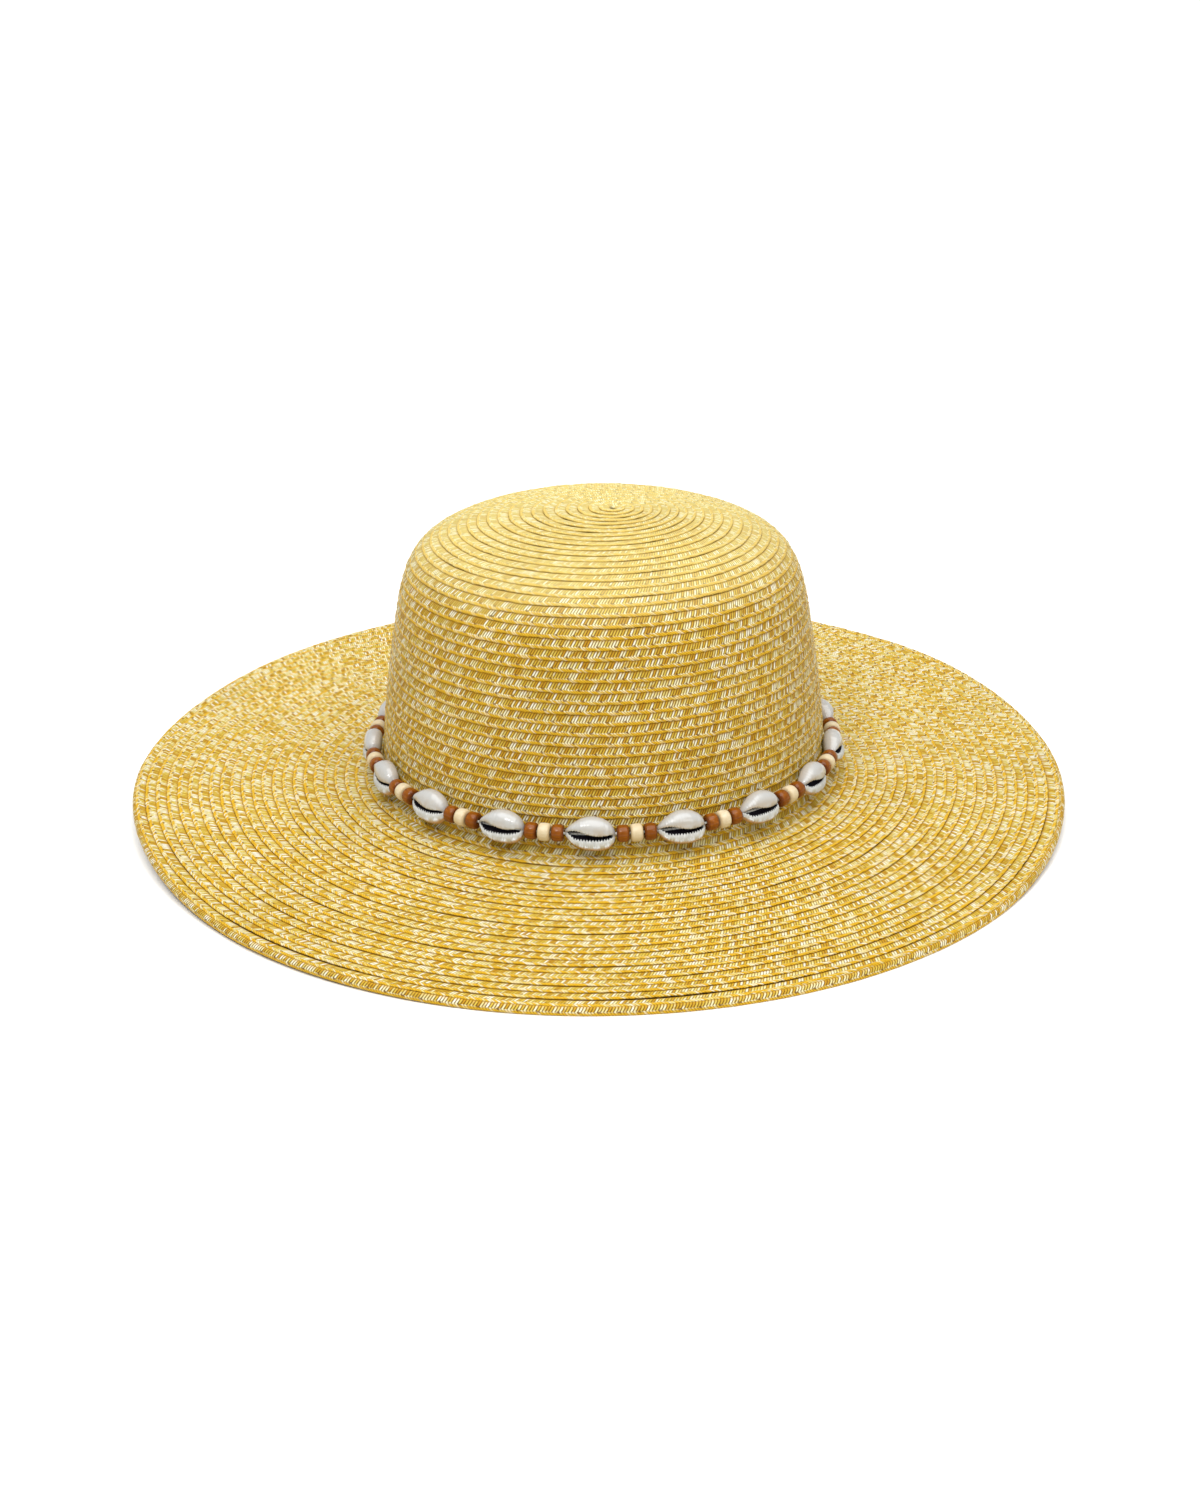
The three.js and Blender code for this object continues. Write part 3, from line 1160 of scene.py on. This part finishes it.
@dataclass
class CowrieShell:
    """One shell lying along its own X, beak at +X, with its toothed slit towards +Y."""

    half_length: float = 9.8
    stations: int = 92
    round_points: int = 30
    tooth_stations: int = 5
    low_tooth: float = 0.40
    high_tooth: float = 0.18
    slit_depth: float = 3.3
    end_depth: float = 0.35
    # Along the shell: top and bottom of its outline, upper and lower lip of its slit.
    outline: tuple[tuple[float, float, float, float, float], ...] = (
        (-9.8, 1.00, -2.60, -0.35, -0.75),
        (-9.3, 2.30, -3.90, 0.05, -0.95),
        (-8.3, 3.90, -5.00, 0.15, -1.25),
        (-7.2, 4.95, -5.90, 0.00, -1.60),
        (-5.1, 6.10, -6.60, -0.35, -2.05),
        (-2.6, 6.80, -6.85, -0.35, -2.25),
        (-0.7, 7.00, -6.80, -0.10, -2.25),
        (1.6, 6.80, -6.60, 0.45, -2.20),
        (3.9, 6.00, -5.90, 1.10, -2.05),
        (6.2, 4.60, -4.80, 1.45, -1.75),
        (7.8, 3.45, -3.70, 1.20, -0.45),
        (8.8, 2.50, -2.60, 0.85, 0.15),
        (9.4, 1.85, -1.80, 0.60, 0.25),
        (9.8, 1.30, -1.00, 0.35, 0.20),
    )
    # Along the shell: how far the upper lobe, the lower lobe and the back reach.
    depths: tuple[tuple[float, float, float, float], ...] = (
        (-9.8, 1.2, 1.2, 0.9),
        (-8.8, 2.9, 2.7, 2.0),
        (-7.2, 4.0, 3.6, 2.7),
        (-3.6, 4.9, 4.4, 3.2),
        (0.0, 5.1, 4.5, 3.3),
        (3.6, 4.9, 4.3, 3.2),
        (7.2, 3.7, 3.2, 2.5),
        (8.8, 2.5, 2.2, 1.8),
        (9.8, 1.0, 1.0, 0.8),
    )

    def section(self, x: float, tooth: float, slit_scale: float) -> Array:
        """Finds one section of the shell.

        Args:
            x: Where the section lies along the shell.
            tooth: How far a tooth stands out there, from -1 to 1.
            slit_scale: How wide the slit is, against the usual one.

        Returns:
            Points from the bottom of the slit, over the lower lobe, the back and the upper lobe.
        """
        outline = np.array(self.outline)
        depths = np.array(self.depths)
        top, bottom, lip_up, lip_low = (np.interp(x, outline[:, 0], outline[:, i]) for i in range(1, 5))
        front_up, front_low, back = (np.interp(x, depths[:, 0], depths[:, i]) for i in range(1, 4))
        wide = (lip_up - lip_low) * slit_scale
        middle = (lip_up + lip_low) / 2
        lip_up, lip_low = middle + wide / 2, middle - wide / 2
        near_end = min(1.0, max(0.0, (self.half_length - abs(x) - 0.6) / 1.6))
        lip_low = lip_low + tooth * self.low_tooth * near_end
        lip_up = lip_up - tooth * self.high_tooth * near_end * (1.0 if x > 0 else 0.25)
        pocket = (self.end_depth + self.slit_depth * near_end) * min(1.0, front_low / 3.0)
        y_low = front_low * 0.86
        y_up = front_up * 0.93
        up_height = top - lip_up
        low_height = lip_low - bottom
        return np.array(
            [
                (y_low - pocket, (lip_up + lip_low) / 2),
                (y_low - pocket * 0.75, lip_low + 0.10),
                (y_low - 0.22, lip_low + 0.02),
                (y_low, lip_low - 0.14),
                (front_low, lip_low - 0.30 * low_height),
                (front_low * 0.86, lip_low - 0.62 * low_height),
                (front_low * 0.52, lip_low - 0.90 * low_height),
                (0.15, bottom),
                (-back * 0.62, bottom * 0.84),
                (-back, bottom * 0.35),
                (-back, top * 0.35),
                (-back * 0.62, top * 0.84),
                (0.15, top),
                (front_up * 0.52, lip_up + 0.90 * up_height),
                (front_up * 0.86, lip_up + 0.64 * up_height),
                (front_up, lip_up + 0.32 * up_height),
                (y_up, lip_up + 0.12),
                (y_up - 0.25, lip_up - 0.02),
                (y_low - pocket * 0.75, lip_up + 0.05),
            ]
        )

    def smooth_section(self, x: float, tooth: float, slit_scale: float) -> Array:
        """Rounds one section and gives it as many points as a ring of faces has.

        Args:
            x: Where the section lies along the shell.
            tooth: How far a tooth stands out there, from -1 to 1.
            slit_scale: How wide the slit is, against the usual one.

        Returns:
            Points of the rounded section, from the bottom of the slit.
        """
        rough = self.section(x, tooth, slit_scale)
        count = len(rough)
        at = np.arange(self.round_points) / self.round_points * count
        i = np.floor(at).astype(int)
        t = (at - i)[:, None]
        a, b, c, d = (rough[(i + k) % count] for k in (-1, 0, 1, 2))
        square = (2 * a - 5 * b + 4 * c - d) * t**2
        cube = (3 * b - a - 3 * c + d) * t**3
        return 0.5 * (2 * b + (c - a) * t + square + cube)

    def build(self, name: str, seat: Matrix, size: float, slit_scale: float) -> Piece:
        """Models one shell.

        Args:
            name: Name of the piece.
            seat: Where the shell sits.
            size: Size against the usual shell.
            slit_scale: How wide its slit is, against the usual one.

        Returns:
            The piece.
        """
        deselect_all()
        rings = self.stations + 1
        bpy.ops.mesh.primitive_uv_sphere_add(segments=self.round_points, ring_count=rings, radius=1.0)
        piece = name_piece(name)
        mesh = piece.data
        clear_maps(mesh)
        ball = vertex_array(mesh)
        polar = np.arccos(np.clip(ball[:, 2], -1.0, 1.0))
        ring = np.rint(polar / np.pi * rings).astype(int)
        pole = (ring == 0) | (ring == rings)
        turns = np.arctan2(ball[:, 1], ball[:, 0]) / (2 * np.pi)
        spot = np.rint(turns * self.round_points).astype(int) % self.round_points
        fractions = np.linspace(-1.0, 1.0, self.stations)
        along = self.half_length * (0.82 * fractions + 0.18 * np.sin(np.pi / 2 * fractions))
        teeth = np.cos(2 * np.pi * np.arange(self.stations) / self.tooth_stations)
        sections = np.stack([self.smooth_section(x, t, slit_scale) for x, t in zip(along, teeth)])
        inside = np.clip(ring - 1, 0, self.stations - 1)
        places = np.empty_like(ball)
        places[:, 0] = along[inside]
        places[:, 1:] = sections[inside, spot]
        for end, station in ((0, 0), (rings, self.stations - 1)):
            centre = sections[station].mean(axis=0)
            places[ring == end] = (along[station] * 1.012, *centre)
        corner, face, first = face_corners(mesh)
        at_pole = pole[corner]
        share = np.where(at_pole, 0.0, spot[corner] / self.round_points)
        share = unwrap_ring(share, face, first, 1.0)
        share = np.where(at_pole, np.maximum.reduceat(share, first)[face], share)
        write_map(mesh, FORM_MAP, (places[corner, 0] / self.half_length + 1) / 2, share)
        move_vertices(mesh, seat_vertices(places * size, seat))
        face_outwards()
        shade_smooth(piece)
        return piece


@dataclass
class WoodenBead:
    """A drilled barrel bead with its hole along its own X."""

    radius: float
    half_length: float = 2.5
    bore: float = 0.75
    facets: int = 26
    # Share of the length and of the radius at each point, from the bore round the outside.
    profile: tuple[tuple[float, float], ...] = (
        (0.0, 0.0),
        (0.62, 0.0),
        (0.90, 0.06),
        (0.99, 0.30),
        (0.97, 0.62),
        (0.84, 0.86),
        (0.55, 0.975),
        (0.0, 1.0),
        (-0.55, 0.975),
        (-0.84, 0.86),
        (-0.97, 0.62),
        (-0.99, 0.30),
        (-0.90, 0.06),
        (-0.62, 0.0),
    )

    def build(self, name: str, seats: Sequence[Matrix]) -> Piece:
        """Models one bead for each seat, joined into one piece.

        Args:
            name: Name of the piece.
            seats: Where the beads sit.

        Returns:
            The piece.
        """
        deselect_all()
        made = [self.build_one(name, seat) for seat in seats]
        for piece in made:
            piece.select_set(True)
        bpy.context.view_layer.objects.active = made[0]
        if len(made) > 1:
            bpy.ops.object.join()
        piece = name_piece(name)
        shade_smooth(piece)
        return piece

    def build_one(self, name: str, seat: Matrix) -> Piece:
        """Models one bead from a ring, with its own map.

        Args:
            name: Name of the piece.
            seat: Where the bead sits.

        Returns:
            The piece, not yet joined.
        """
        piece, column, point = add_ring(name, self.facets, len(self.profile))
        mesh = piece.data
        along, out = np.array(self.profile)[point].T
        reach = self.bore + out * (self.radius - self.bore)
        turn = 2 * np.pi * column / self.facets
        places = np.stack([along * self.half_length, reach * np.cos(turn), reach * np.sin(turn)], 1)
        corner, face, first = face_corners(mesh)
        around = unwrap_ring(column[corner] / self.facets, face, first, 1.0)
        write_map(mesh, FORM_MAP, (along[corner] + 1) / 2, around)
        move_vertices(mesh, seat_vertices(places, seat))
        face_outwards()
        return piece


@dataclass
class BandCord:
    """White cord through the shells and beads, tied with a plain knot at the back."""

    path: BandPath
    radius: float = 0.5
    facets: int = 8
    steps: int = 480
    knot_size: float = 1.35
    knot_cord: float = 0.42
    tail: float = 4.5
    ply_length: float = 1.6

    def build(self) -> list[Piece]:
        """Models and dresses the cord and its knot.

        Returns:
            Both pieces.
        """
        material = CordFinish().build()
        turn = np.linspace(0.0, 2 * np.pi, self.steps, endpoint=False)
        radius = self.path.radius
        height = np.full_like(turn, self.path.height)
        ring = np.stack([radius * np.cos(turn), radius * np.sin(turn), height], 1)
        cord = self.tube("band_cord", ring, self.radius, closed=True)
        knot = self.tube("band_knot", self.knot_line(), self.knot_cord, closed=False)
        for piece in (cord, knot):
            dress(piece, material, ["bead_cord"])
        return [cord, knot]

    def knot_line(self) -> Array:
        """Returns the middle line of a simple overhand knot with two short tails."""
        t = np.linspace(-0.5, 1.5, 90) * np.pi
        aside = 0.625 * np.sin(2 * t) + np.sin(t)
        loop = self.knot_size * np.stack([aside, 0.55 * np.cos(3 * t), 0.85 * np.cos(2 * t)], 1)
        reach = self.tail * np.linspace(0.12, 1.0, 14)[:, None]
        left = loop[0] + reach[::-1] * np.array([-0.55, 0.0, -0.75])
        right = loop[-1] + reach * np.array([0.55, 0.0, -0.75])
        seat = self.path.seat(self.path.knot_angle, self.path.radius)
        return seat_vertices(np.concatenate([left, loop, right]), seat)

    def tube(self, name: str, line: Array, radius: float, closed: bool) -> Piece:
        """Models a round cord along a line.

        Args:
            name: Name of the piece.
            line: Its middle line in millimetres.
            radius: Radius of the cord.
            closed: Whether its ends meet.

        Returns:
            The piece.
        """
        curve = bpy.data.curves.new(name, "CURVE")
        curve.dimensions = "3D"
        curve.bevel_depth = radius * MM
        curve.bevel_resolution = (self.facets - 4) // 2 + 1
        curve.use_fill_caps = not closed
        spline = curve.splines.new("POLY")
        spline.points.add(len(line) - 1)
        for point, place in zip(spline.points, line):
            point.co = (*(place * MM), 1.0)
        spline.use_cyclic_u = closed
        piece = add_object(name, curve)
        deselect_all()
        piece.select_set(True)
        bpy.context.view_layer.objects.active = piece
        bpy.ops.object.convert(target="MESH")
        piece = name_piece(name)
        mesh = piece.data
        clear_maps(mesh)
        self.write_map(mesh, line)
        shade_smooth(piece)
        return piece

    def write_map(self, mesh: Mesh, line: Array) -> None:
        """Writes a cord's map: plies along it, and the share of the way round it.

        Args:
            mesh: Mesh of the cord.
            line: Its middle line in millimetres.
        """
        places = vertex_array(mesh) / MM
        nearest = ((places[:, None] - line[None]) ** 2).sum(-1).argmin(axis=1)
        run = np.concatenate([[0.0], np.cumsum(np.linalg.norm(np.diff(line, axis=0), axis=1))])
        tangent = np.gradient(line, axis=0)[nearest]
        tangent /= np.linalg.norm(tangent, axis=1)[:, None]
        side = np.cross(tangent, np.array([0.0, 0.0, 1.0]))
        side /= np.maximum(np.linalg.norm(side, axis=1)[:, None], 1e-6)
        up = np.cross(side, tangent)
        off = places - line[nearest]
        angle = np.arctan2((off * up).sum(1), (off * side).sum(1)) / (2 * np.pi) + 0.5
        corner, face, first = face_corners(mesh)
        around = unwrap_ring(angle[corner], face, first, 1.0)
        along = unwrap_ring(run[nearest][corner], face, first, float(run[-1]))
        write_map(mesh, FORM_MAP, along / self.ply_length, around)


@dataclass
class ShellBand:
    """Band round the foot of the crown: shells with brown, cream and brown beads between each two."""

    path: BandPath = field(default_factory=BandPath)
    shell: CowrieShell = field(default_factory=CowrieShell)
    cream: WoodenBead = field(default_factory=lambda: WoodenBead(radius=3.62))
    brown: WoodenBead = field(default_factory=lambda: WoodenBead(radius=3.42))
    turned_up_deg: float = 9.0
    # How far the shells differ from each other.
    turn_spread_deg: float = 3.0
    slope_spread_deg: float = 2.5
    smallest: float = 0.96
    slit_spread: float = 0.15
    seed: int = 17

    def build(self) -> list[Piece]:
        """Models and dresses the whole band.

        Returns:
            Its pieces.
        """
        return self.build_shells() + self.build_beads() + BandCord(self.path).build()

    def build_shells(self) -> list[Piece]:
        """Models and dresses the shells, each a little different.

        Returns:
            The shells.
        """
        material = ShellFinish().build()
        rng = np.random.default_rng(self.seed)
        half_angle = math.asin(self.path.shell_half_length / self.path.radius)
        radius = self.path.radius * math.cos(half_angle)
        shells = []
        for i in range(self.path.shells):
            turned = self.turned_up_deg + rng.uniform(-self.turn_spread_deg, self.turn_spread_deg)
            slope = math.radians(rng.uniform(-self.slope_spread_deg, self.slope_spread_deg))
            size = rng.uniform(self.smallest, 1.0)
            slit_scale = rng.uniform(1 - self.slit_spread, 1 + self.slit_spread)
            seat = self.path.seat(self.path.shell_angle(i), radius, self.path.face_up_deg + turned)
            seat = seat @ Matrix.Rotation(slope, 4, "Y")
            piece = self.shell.build(f"shell_{i + 1:02d}", seat, size, slit_scale)
            dress(piece, material, [f"cowrie_{i + 1:02d}"])
            shells.append(piece)
        return shells

    def build_beads(self) -> list[Piece]:
        """Models and dresses the beads.

        Returns:
            The cream beads and the joined brown ones.
        """
        path = self.path
        cream_wood = WoodFinish("cream_bead_wood", (0.70, 0.62, 0.45), (0.56, 0.42, 0.22)).build()
        brown_wood = WoodFinish("brown_bead_wood", (0.31, 0.092, 0.003), (0.095, 0.018, 0.001)).build()
        made = []
        brown_seats = []
        for i in range(path.shells):
            middle = path.beads_angle(i)
            piece = self.cream.build(f"pale_bead_{i + 1:02d}", [path.seat(middle, path.radius)])
            dress(piece, cream_wood, [f"cream_bead_{i + 1:02d}"])
            made.append(piece)
            for side in (-1, 1):
                brown_seats.append(path.seat(middle + side * path.bead_step, path.radius))
        brown = self.brown.build("brown_beads", brown_seats)
        dress(brown, brown_wood, ["bead_cord"])
        return [*made, brown]


# Studio


@dataclass(frozen=True)
class Lamp:
    """Square area lamp that points at the hat: its place and side in metres, its power in watts."""

    name: str
    place: tuple[float, float, float]
    size: float
    power: float


@dataclass
class Studio:
    """Pale floor, soft light and the camera at the photograph's angle."""

    look_down: float = 0.40696
    distance: float = 0.8725
    lens: float = 47.894
    sensor: float = 36.0
    roll: float = 0.01895
    target: tuple[float, float, float] = (0.0, 0.0, 0.0036)
    shift_right: float = -0.00169
    shift_up: float = 0.01136
    floor_size: float = 80.0
    floor_color: Color = (0.90, 0.90, 0.89)
    surround_strength: float = 0.43
    overhead_power: float = 3.2
    overhead_spread_deg: float = 70.0
    overhead_tilt_deg: tuple[float, float, float] = (7.0, 3.0, 0.0)
    lamps: tuple[Lamp, ...] = (
        Lamp("key", (-0.35, -0.70, 0.95), 0.30, 3.0),
        Lamp("fill", (0.75, -0.80, 0.70), 0.35, 1.2),
    )
    lamp_aim: tuple[float, float, float] = (0.0, 0.0, 0.05)

    def build(self) -> None:
        """Makes the floor, the lights and the camera."""
        self.build_floor()
        self.build_lights()
        self.build_camera()
        bpy.context.scene.view_settings.view_transform = "Standard"

    def build_floor(self) -> None:
        """Makes a plain pale floor."""
        deselect_all()
        bpy.ops.mesh.primitive_plane_add(size=self.floor_size)
        floor = name_piece("floor")
        g = Graph("pale_floor")
        g.set(Base_Color=opaque(self.floor_color), Roughness=0.9)
        floor.data.materials.append(g.material)

    def build_lights(self) -> None:
        """Makes a pale surround, a broad soft light from above and two small lamps for the gloss."""
        world = bpy.data.worlds.new("studio")
        bpy.context.scene.world = world
        world.use_nodes = True
        background = world.node_tree.nodes["Background"]
        background.inputs["Color"].default_value = (1.0, 1.0, 1.0, 1.0)
        background.inputs["Strength"].default_value = self.surround_strength
        above = bpy.data.lights.new("overhead", "SUN")
        above.energy = self.overhead_power
        above.angle = math.radians(self.overhead_spread_deg)
        overhead = add_object("overhead", above)
        overhead.rotation_euler = [math.radians(tilt) for tilt in self.overhead_tilt_deg]
        for lamp in self.lamps:
            light = bpy.data.lights.new(lamp.name, "AREA")
            light.size = lamp.size
            light.energy = lamp.power
            hung = add_object(lamp.name, light)
            hung.location = lamp.place
            aim = Vector(self.lamp_aim) - Vector(lamp.place)
            hung.rotation_euler = aim.to_track_quat("-Z", "Y").to_euler()

    def build_camera(self) -> None:
        """Makes the camera that the photograph was solved for."""
        ahead = Vector((0.0, math.cos(self.look_down), -math.sin(self.look_down)))
        right = Vector((1.0, 0.0, 0.0))
        up = Vector((0.0, math.sin(self.look_down), math.cos(self.look_down)))
        rolled_right = math.cos(self.roll) * right - math.sin(self.roll) * up
        rolled_up = math.sin(self.roll) * right + math.cos(self.roll) * up
        place = Vector(self.target) - self.distance * ahead
        place += self.shift_right * rolled_right + self.shift_up * rolled_up
        lens = bpy.data.cameras.new("camera")
        lens.lens = self.lens
        lens.sensor_width = self.sensor
        lens.sensor_fit = "AUTO"
        lens.clip_start = 0.01
        lens.clip_end = 100.0
        camera = add_object("camera", lens)
        axes = Matrix((rolled_right, rolled_up, -ahead)).transposed()
        camera.matrix_world = Matrix.Translation(place) @ axes.to_4x4()
        bpy.context.scene.camera = camera


def main() -> None:
    """Builds the hat and its studio, and reports each piece."""
    logging.basicConfig(level=logging.INFO, format="%(name)s: %(message)s")
    straw = StrawBody()
    parts: list[tuple[str, Callable[[], object]]] = [
        ("crown and brim", straw.build),
        ("rolled edge", RolledEdge(straw.braid.line).build),
        ("band", ShellBand().build),
        ("studio", Studio().build),
    ]
    for name, build in parts:
        build()
        LOG.info("%s: done", name)


if __name__ == "__main__":
    main()
